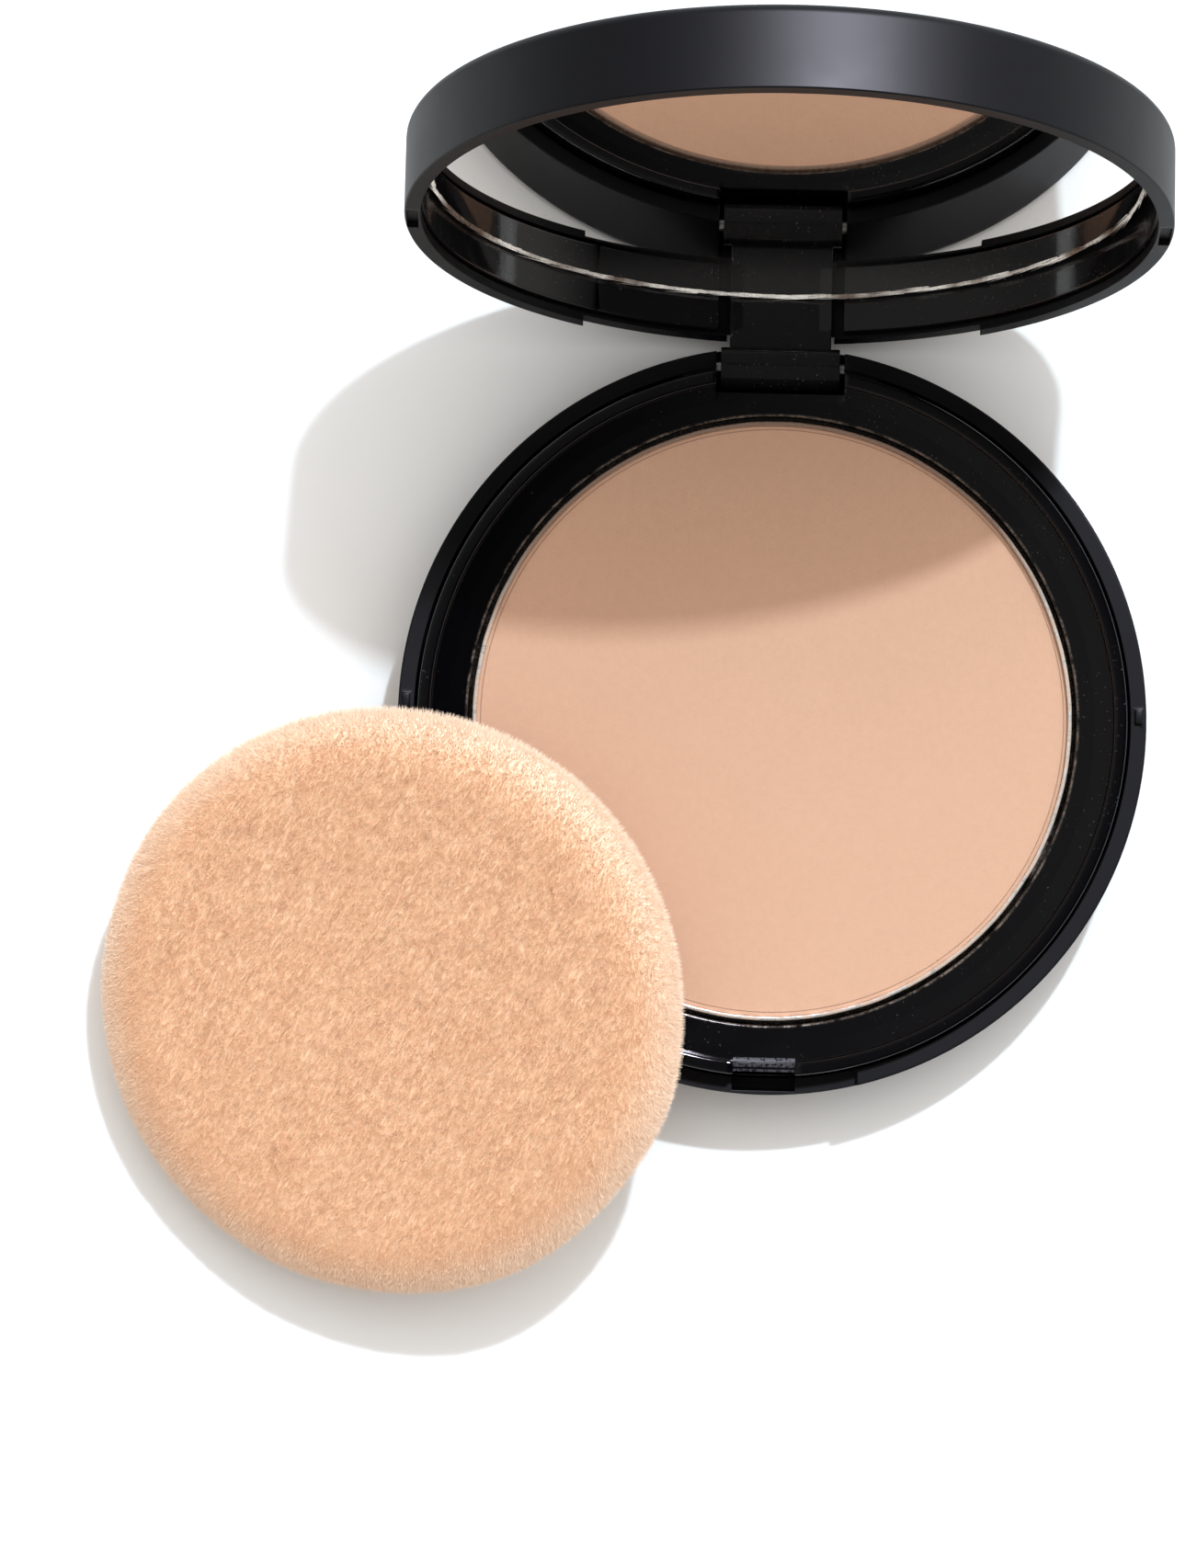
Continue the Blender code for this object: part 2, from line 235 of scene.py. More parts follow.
studio.plug(fill_colour, background.inputs["Color"])

paper = Finish("white_paper", paper_white, 0.75)
fibre = paper.noise(paper.place, 900.0, 3.0)
paper.set("Roughness", paper.between(fibre, 0.3, 0.7, 0.7, 0.8))

table_mesh = bpy.data.meshes.new("table_top")
corners = [(-1, -1), (1, -1), (1, 1), (-1, 1)]
table_mesh.from_pydata(
    [(x * table_half_side, y * table_half_side, -table_below) for x, y in corners],
    [],
    [(0, 1, 2, 3)],
)
table_mesh.materials.append(paper.material)
table_top = bpy.data.objects.new("table_top", table_mesh)
scene.collection.objects.link(table_top)


# Base shell: the outer dish, moulded in black ABS and sprayed with a soft-touch lacquer. Its top
# edge is the step that the lid's rim meets. It is open at the back for the hinge and cut down at
# the front for the thumb and the clasp.
case_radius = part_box("base_shell")[1].x
step_height = 0.0084
rim_width = 0.0016
base_floor = 0.0013
base_edge = 0.0012
step_edge = 0.0002
foot_radius = 0.0335
foot_recess = 0.00025
foot_bend = 0.00015
rim_bend = 0.0001
notch_width = 0.0126
ear_width = 0.0033
ear_depth = 0.0024
ear_foot = 0.001
hinge_bend = 0.0002
thumb_width = 0.0184
thumb_depth = 0.0008
clasp_width = 0.0062
clasp_depth = 0.003
clasp_skin = 0.0004
rib_length = 0.0014
rib_width = 0.0007
rib_height = 0.00035
rib_offset = 0.0013
rib_bend = 0.00012
broken_edge = 0.00006
fit = 0.0003
past = 0.001
hinge = next(joint for joint in frame["joints"] if joint["name"] == "lid_hinge")
hinge_y, hinge_z = hinge["pos_m"][1:]
pin_bore_radius = 0.00095
pin_bore_half = 0.0083
barrel_radius = 0.0021
notch_inner_y = hinge_y - barrel_radius - fit
notch_floor = hinge_z - 0.00317
wall_inner = case_radius - rim_width
on_axis = 0.0000001


def rounded(corners, steps=5):
    """The outline through corners of (radius, height, bend), each bend turned as an arc."""
    outline = []
    for i, (radius, height, bend) in enumerate(corners):
        here = Vector((radius, height))
        if not bend:
            outline.append(here)
            continue
        before = (Vector(corners[i - 1][:2]) - here).normalized()
        after = (Vector(corners[(i + 1) % len(corners)][:2]) - here).normalized()
        half = before.angle(after) / 2
        centre = here + (before + after).normalized() * bend / math.sin(half)
        arm = here + before * bend / math.tan(half) - centre
        sweep = arm.angle_signed(here + after * bend / math.tan(half) - centre)
        for k in range(steps + 1):
            outline.append(centre + Matrix.Rotation(-sweep * k / steps, 2) @ arm)
    return outline


def turned(name, outline, segments=288):
    """An outline of (radius, height), down its outer side, turned round Z.

    One that starts and ends on the axis is closed there by a single point, and any other is a loop.
    """
    shape = bmesh.new()
    angles = [2 * math.pi * i / segments for i in range(segments)]
    rings = []
    for radius, height in outline:
        if radius < on_axis:
            rings.append([shape.verts.new((0, 0, height))] * segments)
        else:
            points = [(radius * math.cos(a), radius * math.sin(a), height) for a in angles]
            rings.append([shape.verts.new(point) for point in points])
    if outline[0][0] > on_axis:
        rings.append(rings[0])
    for upper, lower in zip(rings, rings[1:]):
        for i in range(segments):
            after = (i + 1) % segments
            corners = dict.fromkeys([upper[i], lower[i], lower[after], upper[after]])
            if len(corners) > 2:
                shape.faces.new(list(corners))
    return shown(name, shape)


def shown(name, shape):
    """An object of that shape, at the origin."""
    mesh = bpy.data.meshes.new(name)
    shape.to_mesh(mesh)
    shape.free()
    piece = bpy.data.objects.new(name, mesh)
    scene.collection.objects.link(piece)
    return piece


def block(low, high, bend=0.0):
    """A box between two corners, with its edges turned by a bend."""
    low, high = Vector(low), Vector(high)
    shape = bmesh.new()
    place = Matrix.LocRotScale((low + high) / 2, None, high - low)
    bmesh.ops.create_cube(shape, size=1.0, matrix=place)
    if bend:
        edges = list(shape.edges)
        bmesh.ops.bevel(shape, geom=edges, offset=bend, segments=3, profile=0.5, affect="EDGES")
    return shown("tool", shape)


def rod(radius, half_length, centre, name="tool", segments=72):
    """A cylinder along X."""
    shape = bmesh.new()
    across = Matrix.Translation(centre) @ Matrix.Rotation(math.pi / 2, 4, "Y")
    bmesh.ops.create_cone(
        shape,
        cap_ends=True,
        segments=segments,
        radius1=radius,
        radius2=radius,
        depth=2 * half_length,
        matrix=across,
    )
    return shown(name, shape)


def settle(piece):
    """Makes the piece's modifiers part of its mesh."""
    graph = bpy.context.evaluated_depsgraph_get()
    mesh = bpy.data.meshes.new_from_object(piece.evaluated_get(graph))
    piece.modifiers.clear()
    rough, piece.data = piece.data, mesh
    bpy.data.meshes.remove(rough)
    mesh.name = piece.name


def worked(piece, joined=(), cut=()):
    """Joins shapes to a piece, then cuts others out of it. The tools are used up."""
    for operation, tools in (("UNION", joined), ("DIFFERENCE", cut)):
        for tool in tools:
            boolean = piece.modifiers.new(operation, "BOOLEAN")
            boolean.operation = operation
            boolean.object = tool
    settle(piece)
    for tool in [*joined, *cut]:
        bpy.data.meshes.remove(tool.data)


def dressed(piece, finish, edge=0.0, sharp=35):
    """Breaks the piece's sharp edges, shades it smooth and gives it its finish."""
    if edge:
        bevel = piece.modifiers.new("broken_edges", "BEVEL")
        bevel.width = edge
        bevel.segments = 2
        bevel.limit_method = "ANGLE"
        bevel.angle_limit = math.radians(50)
        bevel.use_clamp_overlap = False
        bevel.miter_outer = "MITER_ARC"
    settle(piece)
    piece.data.materials.clear()
    piece.data.materials.append(finish.material)
    piece.data.shade_smooth()
    piece.data.set_sharp_from_angle(angle=math.radians(sharp))
    flats = piece.modifiers.new("flat_faces_lead", "WEIGHTED_NORMAL")
    flats.keep_sharp = True
    settle(piece)


def soft_touch_lacquer():
    """Matt black lacquer: a very fine orange peel, a little rubbed where fingers hold it."""
    finish = Finish("soft_touch_lacquer", (0.003, 0.003, 0.004), 0.46, Specular_IOR_Level=0.16)
    grain = finish.noise(finish.place, 5200.0, 2.0, 0.6)
    rubbed = finish.noise(finish.place, 85.0, 3.0, 0.55)
    finish.set("Roughness", finish.between(rubbed, 0.35, 0.7, 0.475, 0.435))
    tone = finish.between(rubbed, 0.3, 0.75)
    finish.set("Base Color", finish.mix(tone, (0.0026, 0.0026, 0.0038), (0.004, 0.004, 0.0052)))
    finish.set("Normal", finish.relief(grain, 0.0000022))
    return finish


lacquer = soft_touch_lacquer()

base = turned(
    "base_dish",
    rounded(
        [
            (0, base_floor, 0),
            (wall_inner, base_floor, 0),
            (wall_inner, step_height, rim_bend),
            (case_radius, step_height, step_edge),
            (case_radius, 0, base_edge),
            (foot_radius, 0, foot_bend),
            (foot_radius - foot_recess, foot_recess, foot_bend),
            (0, foot_recess, 0),
        ]
    ),
)
half_notch = notch_width / 2
ears_and_ribs = []
for side in (-1, 1):
    near, far = sorted((side * half_notch, side * (half_notch + ear_width)))
    ear_back = notch_inner_y + fit + ear_depth
    ear = block(
        (near, notch_inner_y + fit, ear_foot),
        (far, ear_back, step_height - fit),
        hinge_bend,
    )
    rib_x = side * (case_radius - rim_width / 2)
    rib = block(
        (rib_x - rib_width / 2, rib_offset - rib_length / 2, step_height - rib_height),
        (rib_x + rib_width / 2, rib_offset + rib_length / 2, step_height + rib_height),
        rib_bend,
    )
    ears_and_ribs += [ear, rib]
far = case_radius + past
top = step_height + past
worked(
    base,
    joined=ears_and_ribs,
    cut=[
        block((-half_notch, notch_inner_y, notch_floor), (half_notch, far, top), hinge_bend),
        block(
            (-thumb_width / 2, -far, step_height - thumb_depth),
            (thumb_width / 2, -case_radius / 2, top),
        ),
        block(
            (-clasp_width / 2, clasp_skin - case_radius, step_height - clasp_depth),
            (clasp_width / 2, -case_radius / 2, top),
        ),
        rod(pin_bore_radius, pin_bore_half, (0, hinge_y, hinge_z)),
    ],
)
dressed(base, lacquer, broken_edge)
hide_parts("base_shell")
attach(base, "base")


# Inner frame: one glossy black moulding glued into the dish. It has a raised lip inside the step,
# a shallow ring sloping down to the powder, and under that the well that holds the pan.
lip_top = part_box("inner_frame")[1].z
lip_radius = wall_inner - fit
lip_width = 0.0014
lip_bend = 0.0003
skirt_wall = 0.0011
ring_thickness = 0.001
ring_drop = 0.0001
ring_rise = 0.00035
well_radius = 0.02995
well_wall = 0.0011
well_underside = 0.0023
well_floor = 0.0033
eject_hole = 0.003
clasp_reach = 0.0017
clasp_lip_drop = 0.0006
latch_half = 0.0027
latch_reach = 0.0004
well_bend = 0.0002
ring_bend = 0.003
ring_sag = 0.4
lip_corner = 0.0001
lip_draft = 0.0001
lip_top_bend = 0.00035
recess_back = lip_radius - clasp_reach
recess_shade_line = lip_radius - 0.0008
ring_black = (0.0012, 0.0011, 0.0018)
recess_grey = (0.009, 0.009, 0.012)
edge_powder_and_reflection = (0.15, 0.11, 0.085)


def polished_black(name, tone, spot=(0, 0, 0), turn=(0, 0, 0), streaks=0.0, dust=0.0, marks=()):
    """Polished black plastic: slow moulding waves, hair scratches, and dust that has settled.

    Each mark is a rule for the share of the surface that it covers at a place, and its colour.
    """
    finish = Finish(name, tone, 0.07, Specular_IOR_Level=0.5)
    place = finish.moved(spot, turn)
    along = finish.moved(spot, turn, (1, 1, 12))
    waves = finish.noise(place, 120.0, 1.0, 0.4)
    drawn = finish.noise(along, 900.0, 3.0, 0.6)
    specks = finish.noise(place, 3800.0, 1.0, 0.5)
    dirt = finish.noise(place, 140.0, 2.0, 0.5)
    dusty = finish.between(specks, 0.7, 0.76) * finish.between(dirt, 0.42, 0.62) * dust
    colour = finish.mix(dusty, tone, (0.11, 0.105, 0.1))
    smear = finish.between(dirt, 0.35, 0.7, 0.05, 0.12)
    roughness = smear + dusty * 0.5 + finish.between(drawn, 0.5, 0.8) * streaks
    for rule, mark_colour in marks:
        share = rule(finish) * finish.between(specks, 0.3, 0.6, 0.35, 1.0)
        colour = finish.mix(share, colour, mark_colour)
        roughness = roughness + share * 0.4
    finish.set("Base Color", colour)
    finish.set("Roughness", roughness)
    slow = finish.relief(waves, 0.00004)
    finish.set("Normal", finish.relief(drawn, 0.0000015 + streaks * 0.00001, slow))
    return finish


def clasp_recess(finish):
    """The floor of the clasp's recess: grey, rougher bands either side of a black line, which is
    painted shade.
    """
    across, along, _ = finish.split(finish.place)
    inside = finish.between(across.absolute(), clasp_width / 2, clasp_width / 2 - 0.0001)
    behind = finish.between(along, 0.0002 - recess_back, -recess_back)
    before = finish.between(along, -lip_radius, 0.0001 - lip_radius)
    # The black line between the grey bands is painted shade.
    painted_shade_line = finish.between((along + recess_shade_line).absolute(), 0.00005, 0.00015)
    return inside * behind * before * painted_shade_line


def powder_and_reflection_edge(finish):
    """Powder colour along the ring's inner edge: partly powder caught there, partly a painted
    reflection of the powder.
    """
    # Partly real powder, partly a painted reflection of the powder in the glossy edge.
    inside = finish.between(finish.from_axis(), well_radius + 0.00032, well_radius + 0.0001)
    return inside * finish.between(finish.noise(finish.place, 700.0, 3.0, 0.6), 0.32, 0.66)


ring_gloss = polished_black(
    "polished_black_ring",
    ring_black,
    dust=0.35,
    marks=[(clasp_recess, recess_grey), (powder_and_reflection_edge, edge_powder_and_reflection)],
)

lip_inner = lip_radius - lip_width
ring_top = step_height - ring_drop + ring_rise
ring_middle = (well_radius + lip_inner) / 2
inner = turned(
    "inner_ring_and_well",
    rounded(
        [
            (lip_radius, lip_top, lip_bend),
            (lip_radius, base_floor + fit, 0),
            (lip_radius - skirt_wall, base_floor + fit, 0),
            (lip_radius - skirt_wall, step_height - ring_drop - ring_thickness, 0),
            (well_radius + well_wall, step_height - ring_drop - ring_thickness, 0),
            (well_radius + well_wall, well_underside, 0),
            (eject_hole, well_underside, 0),
            (eject_hole, well_floor, 0),
            (well_radius, well_floor, 0),
            (well_radius, step_height - ring_drop, well_bend),
            (ring_middle, step_height - ring_drop + ring_sag * ring_rise, ring_bend),
            (lip_inner, ring_top, lip_corner),
            (lip_inner + lip_draft, lip_top, lip_top_bend),
        ]
    ),
)
half_pocket = half_notch + ear_width + fit
top = lip_top + past
worked(
    inner,
    cut=[
        block((-half_notch, notch_inner_y, -past), (half_notch, far, top)),
        block((-half_pocket, notch_inner_y, -past), (half_pocket, far, step_height)),
        block(
            (-clasp_width / 2, -far, lip_top - clasp_lip_drop),
            (clasp_width / 2, clasp_reach - lip_radius, top),
        ),
        block(
            (-latch_half - fit, -far, step_height - fit),
            (latch_half + fit, latch_reach + fit - wall_inner, top),
        ),
    ],
)
dressed(inner, ring_gloss, broken_edge)
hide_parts("inner_frame")
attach(inner, "base")


# Pan: a shallow cup pressed from thin aluminium sheet, held in the well by a disc of tape. Its
# cut rim is bright and a little dented, and shows as a thin line round the powder.
pan_low, pan_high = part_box("pan")
pan_wall = 0.0004
pan_corner = 0.0006
pan_inner_corner = 0.0003
pan_rim_outer = 0.00018
pan_rim_inner = 0.00012
rim_dent = 0.00004
dented_height = 0.001


def drawn_aluminium():
    """Drawn metal, mostly under a film of powder; towards the hinge it is painted dark and dull, as
    shade.
    """
    finish = Finish("drawn_aluminium", (0.86, 0.85, 0.83), 0.28, 1.0)
    draw = finish.noise(finish.moved(scale=(1, 1, 6)), 2600.0, 3.0, 0.6)
    finish.set("Roughness", finish.between(draw, 0.3, 0.7, 0.2, 0.42))
    film = finish.between(finish.noise(finish.place, 700.0, 3.0, 0.6), 0.34, 0.6)
    # Towards the hinge the colour darkens and the metal dulls: painted shade.
    painted_hinge_shade = finish.between(finish.split(finish.place)[1], 0.006, 0.02)
    filmed = finish.mix(film, (0.62, 0.58, 0.53), (0.54, 0.41, 0.33))
    finish.set("Base Color", finish.mix(painted_hinge_shade, filmed, (0.26, 0.165, 0.12)))
    finish.set("Metallic", (1.0 - film) * (1.0 - painted_hinge_shade) * 0.55)
    finish.set("Normal", finish.relief(draw, 0.000004))
    return finish


def nudged(piece, rule):
    """Moves each point of the piece by what a rule gives for its place."""
    for point in piece.data.vertices:
        point.co += Vector(rule(point.co))


pan = turned(
    "powder_pan",
    rounded(
        [
            (0, pan_low.z + pan_wall, 0),
            (pan_high.x - pan_wall, pan_low.z + pan_wall, pan_inner_corner),
            (pan_high.x - pan_wall, pan_high.z, pan_rim_inner),
            (pan_high.x, pan_high.z, pan_rim_outer),
            (pan_high.x, pan_low.z, pan_corner),
            (0, pan_low.z, 0),
        ]
    ),
)


def dented(place):
    """A slow wander of the rim, in and down only, so that it stays in its well."""
    depth = rim_dent * (noise.noise(place * 400.0) - 1) * (place.z > pan_high.z - dented_height)
    return (place.x / pan_high.x * depth, place.y / pan_high.x * depth, 0.5 * depth)


nudged(pan, dented)
dressed(pan, drawn_aluminium())
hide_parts("pan")
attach(pan, "base")


# Powder cake: face powder pressed into the pan through a woven cloth, which leaves its weave in
# the face. The press ring leaves a hairline just inside the rim and a slightly raised edge.
cake_low, cake_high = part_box("powder_cake")
cake_gap = 0.00001
cake_radius = pan_high.x - pan_wall - cake_gap
cake_crown = 0.00006
cake_edge = 0.00012
press_ring = 0.00042
press_ring_half = 0.00006
press_ring_bend = 0.00003
press_ring_depth = 0.00008
weave_pitch = 0.00031
powder_light = (0.62, 0.37, 0.252)
powder_deep = (0.578, 0.342, 0.23)
press_groove_shade = (0.3, 0.21, 0.16)
cake_face = cake_high.z - cake_crown


def pressed_powder():
    """Matt powder with the cloth's weave in it, a little deeper in tone where it is less packed, and
    painted darker, as shade, in the weave's hollows and at the press ring.
    """
    finish = Finish("pressed_powder", powder_light, 0.85, Specular_IOR_Level=0.12)
    finish.set("Sheen Weight", 0.12)
    finish.set("Sheen Roughness", 0.6)
    across = finish.moved(rotation=(0, 0, math.radians(38)))
    u, v, _ = finish.split(across)
    beat = 2 * math.pi / weave_pitch
    wander = finish.noise(finish.place, 420.0, 2.0) * 1.6
    warp = (u * beat + wander).sine()
    weft = (v * (beat * 0.8) + wander).sine()
    weave = warp * weft
    grain = finish.noise(finish.place, 9000.0, 3.0, 0.65)
    clumps = finish.noise(finish.place, 1500.0, 2.0, 0.5)
    cloud = finish.noise(finish.place, 60.0, 3.0, 0.5)
    # The weave darkens the colour a little in its hollows: painted shade.
    tone = finish.between(grain * 0.5 + clumps * 0.25 + cloud * 0.25 + weave * 0.06, 0.34, 0.66)
    # The hairline at the press ring is painted darker: painted shade in its hollow.
    from_ring = (finish.from_axis() - (cake_radius - press_ring)).absolute()
    line = finish.between(from_ring, 0.00002, 0.00009, 0.45, 0.0)
    colour = finish.mix(tone, powder_deep, powder_light)
    finish.set("Base Color", finish.mix(line, colour, press_groove_shade))
    woven = finish.relief(weave, 0.000006)
    finish.set("Normal", finish.relief(grain, 0.000012, woven))
    return finish


cake = turned(
    "powder_cake_face",
    rounded(
        [
            (0, cake_high.z, 0),
            (cake_radius - press_ring - press_ring_half, cake_face, press_ring_bend),
            (cake_radius - press_ring, cake_face - press_ring_depth, 0),
            (cake_radius - press_ring + press_ring_half, cake_face, press_ring_bend),
            (cake_radius, cake_face, cake_edge),
            (cake_radius, cake_low.z, 0),
            (0, cake_low.z, 0),
        ]
    ),
)
dressed(cake, pressed_powder())
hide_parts("powder_cake")
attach(cake, "base")


# Tapes: a disc of double-sided tissue tape under the pan and another behind the mirror. Both are
# hidden, and keep their plain shape with a papery finish.
def tissue_tape():
    """Thin tissue, soaked with a clear glue."""
    finish = Finish("tissue_tape", (0.78, 0.76, 0.68), 0.6)
    fibres = finish.noise(finish.place, 2200.0, 4.0, 0.7)
    tone = finish.between(fibres, 0.35, 0.65)
    finish.set("Base Color", finish.mix(tone, (0.7, 0.67, 0.58), (0.82, 0.8, 0.73)))
    finish.set("Normal", finish.relief(fibres, 0.00001))
    return finish


def refinished(node, finish):
    """Gives a node that is shown as it is its finish."""
    node.material_slots[0].link = "OBJECT"
    node.material_slots[0].material = finish.material


tape = tissue_tape()
for name in ("pan_tape", "mirror_tape"):
    refinished(frame["nodes"][name], tape)


# Hinge pin: a length of bright drawn steel wire, pushed through the base's ears and the lid's
# barrel. It is all that holds the two together.
def drawn_steel():
    """Bright wire with the fine lines of the die along it."""
    finish = Finish("drawn_steel", (0.72, 0.71, 0.7), 0.2, 1.0)
    draw = finish.noise(finish.moved(scale=(20, 1, 1)), 9000.0, 2.0)
    finish.set("Roughness", finish.between(draw, 0.3, 0.7, 0.14, 0.3))
    finish.set("Normal", finish.relief(draw, 0.000002))
    return finish


pin_low, pin_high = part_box("hinge_pin")
pin_radius = (pin_high.z - pin_low.z) / 2
pin_edge = 0.00012
pin = rod(pin_radius, pin_high.x, (0, hinge_y, hinge_z), "drawn_pin", 48)
dressed(pin, drawn_steel(), pin_edge)
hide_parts("hinge_pin")
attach(pin, "base")


# Lid shell: a shallow cap in the same lacquered moulding as the base. A bead thickens its rim. The
# rim is relieved beside the hinge, and has a slot each side for the base's ribs to find.
lid_height = 0.00855
lid_edge = 0.00107
lid_plate = 0.0012
lid_wall = 0.0009
lid_bead = 0.0009
rim_relief_half = 0.0195
rim_relief = 0.0006
rib_slot_length = 0.0048
rib_slot_width = 0.0011
rib_slot_depth = 0.0006
latch_height = 0.0005
hinge_gap_half = 0.0053
liner_lift = 0.0004
rim_gap = 0.00002
lid_rim_bend = 0.00018
bead_slope = 0.0001
lid_inner_bend = 0.0002
lid_broken_edge = 0.00005
latch_root = 0.0004
latch_low = step_height + 0.00015
latch_bend = 0.00012
lid_top = step_height + lid_height
liner_low = step_height + lid_bead + liner_lift
hinge_place = Matrix.Translation(hinge["pos_m"])
opened = math.radians(hinge["range_deg"][1])
opening = hinge_place @ Matrix.Rotation(-opened, 4, "X") @ hinge_place.inverted()

lid = turned(
    "lid_cap",
    rounded(
        [
            (0, lid_top, 0),
            (case_radius, lid_top, lid_edge),
            (case_radius, step_height + rim_gap, lid_rim_bend),
            (wall_inner, step_height + rim_gap, rim_bend),
            (wall_inner, step_height + lid_bead, rim_bend),
            (case_radius - lid_wall, step_height + lid_bead + bead_slope, 0),
            (case_radius - lid_wall, lid_top - lid_plate, lid_inner_bend),
            (0, lid_top - lid_plate, 0),
        ],
        8,
    ),
)
latch = block(
    (-latch_half, -wall_inner - latch_root, latch_low),
    (latch_half, latch_reach - wall_inner, latch_low + latch_height),
    latch_bend,
)
rim_slots = []
for side in (-1, 1):
    slot_x = side * (case_radius - rim_width / 2)
    slot_y = rib_offset + rib_slot_length / 2
    slot = block(
        (slot_x - rib_slot_width / 2, slot_y - rib_slot_length, step_height - past),
        (slot_x + rib_slot_width / 2, slot_y, step_height + rib_slot_depth),
    )
    rim_slots.append(slot)
worked(
    lid,
    joined=[latch],
    cut=[
        block(
            (-rim_relief_half, case_radius / 2, step_height - past),
            (rim_relief_half, far, step_height + rim_relief),
        ),
        block(
            (-hinge_gap_half, case_radius / 2, step_height - past),
            (hinge_gap_half, far, liner_low),
        ),
        *rim_slots,
    ],
)
lid.data.transform(opening)
dressed(lid, lacquer, lid_broken_edge)
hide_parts("lid_shell")
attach(lid, "lid")


# Lid liner: a glossy black cup glued inside the lid. It holds the mirror, and its tongue, freed by
# a slot each side, runs down over the rim to the barrel that turns on the pin.
liner_radius = case_radius - lid_wall - fit
liner_wall = 0.0006
liner_plate = 0.0007
liner_top = lid_top - lid_plate - fit
mirror_radius = 0.0345
mirror_face = step_height + 0.0047
tongue_half = 0.005
tongue_slot = 0.0012
tongue_slot_depth = 0.0024
tongue_across = 0.0018
tongue_up = liner_low - fit - hinge_z
barrel_half = 0.00585
liner_corner = 0.0003
liner_bend = 0.0002
liner_rim_bend = 0.0001
tongue_root = 0.0004
tongue_back_bend = 0.00012
tongue_bend = 0.00025
seam_bearing = math.radians(31.5)
seam_half_width = 0.00008
seam_proud = 0.00008
seam_root = 0.0002
# The liner's black is lighter than the ring's: painted fill light for the liner, which stands in the
# lid's shade.
liner_black_painted_fill = (0.008, 0.0074, 0.0084)

lid_turn = opening.to_euler()
liner_gloss = polished_black(
    "polished_black_liner", liner_black_painted_fill, opening.translation, lid_turn, streaks=0.12, dust=0.9
)

liner = turned(
    "mirror_cup_and_tongue",
    rounded(
        [
            (0, liner_top, 0),
            (liner_radius, liner_top, liner_corner),
            (liner_radius, liner_low, liner_rim_bend),
            (liner_radius - liner_wall, liner_low, liner_bend),
            (liner_radius - liner_wall, liner_top - liner_plate, liner_bend),
            (0, liner_top - liner_plate, 0),
        ]
    ),
)
tongue_inner_y = mirror_radius + fit
slots = []
for side in (-1, 1):
    near, beyond = sorted((side * tongue_half, side * (tongue_half + tongue_slot)))
    low = (near, liner_radius - tongue_slot_depth, step_height - past)
    slots.append(block(low, (beyond, case_radius, mirror_face)))
seam_y = liner_radius - liner_wall
seam = block(
    (-seam_half_width, seam_y - seam_proud, liner_low),
    (seam_half_width, seam_y + seam_root, mirror_face),
)
seam.data.transform(Matrix.Rotation(seam_bearing, 4, "Z"))
worked(liner, joined=[seam], cut=slots)
worked(
    liner,
    joined=[
        block(
            (-tongue_half, tongue_inner_y, hinge_z),
            (tongue_half, tongue_inner_y + liner_wall, liner_top - liner_plate + tongue_root),
            tongue_back_bend,
        ),
        block(
            (-tongue_half, tongue_inner_y, hinge_z),
            (tongue_half, hinge_y + tongue_across, hinge_z + tongue_up),
            tongue_bend,
        ),
        rod(barrel_radius, barrel_half, (0, hinge_y, hinge_z)),
    ],
    cut=[rod(pin_bore_radius, barrel_half + past, (0, hinge_y, hinge_z))],
)
liner.data.transform(opening)
dressed(liner, liner_gloss, broken_edge)
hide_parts("lid_liner")
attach(liner, "lid")


# Mirror: a disc of silvered float glass with a ground bevel, taped to the cup a touch off centre.
# Its lower part is hazy, because fingers don't wipe it there.
mirror_thickness = 0.0011
mirror_bevel = 0.0002
mirror_trim = 0.00005
mirror_shift = -0.00025
silver = (0.98, 0.965, 0.945)
haze_low = (opening @ Vector((0, mirror_radius, mirror_face))).z
haze_high = haze_low + 0.014


def silvered_glass():
    """Clean but for a few specks, and a haze towards the hinge where fingers don't wipe."""
    finish = Finish("silvered_glass", silver, 0.012, 1.0)
    film = finish.noise(finish.place, 90.0, 3.0, 0.55)
    finish.set("Roughness", finish.between(film, 0.45, 0.8, 0.008, 0.035))
    specks = finish.noise(finish.place, 3300.0, 1.0)
    dusty = finish.between(specks, 0.74, 0.78)
    finish.set("Base Color", finish.mix(dusty, silver, (0.6, 0.58, 0.55)))
    height = finish.split(finish.place)[2]
    finish.set("Metallic", finish.between(height, haze_low, haze_high, 0.955, 1.0))
    return finish


mirror = turned(
    "mirror_disc",
    rounded(
        [
            (0, mirror_face + mirror_thickness, 0),
            (mirror_radius - mirror_trim, mirror_face + mirror_thickness, 0),
            (mirror_radius - mirror_trim, mirror_face + mirror_bevel, 0),
            (mirror_radius - mirror_bevel, mirror_face, 0),
            (0, mirror_face, 0),
        ]
    ),
)
mirror.data.transform(opening @ Matrix.Translation((mirror_shift, 0, 0)))
dressed(mirror, silvered_glass(), sharp=20)
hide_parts("mirror")
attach(mirror, "lid")


# Mirror edge: what snapping and grinding left of the glass round the mirror's rim, a ring of fine
# slivers that catch the light. They are part of the pane and turn with it.
# The slivers glow a little: painted light.
chip_ring = mirror_radius - 0.0003
chip_width = 0.00008
chip_length = 0.0044
chip_count = 900
chip_stray = 0.00016
chip_lean = (0.05, 0.05, 6.28)


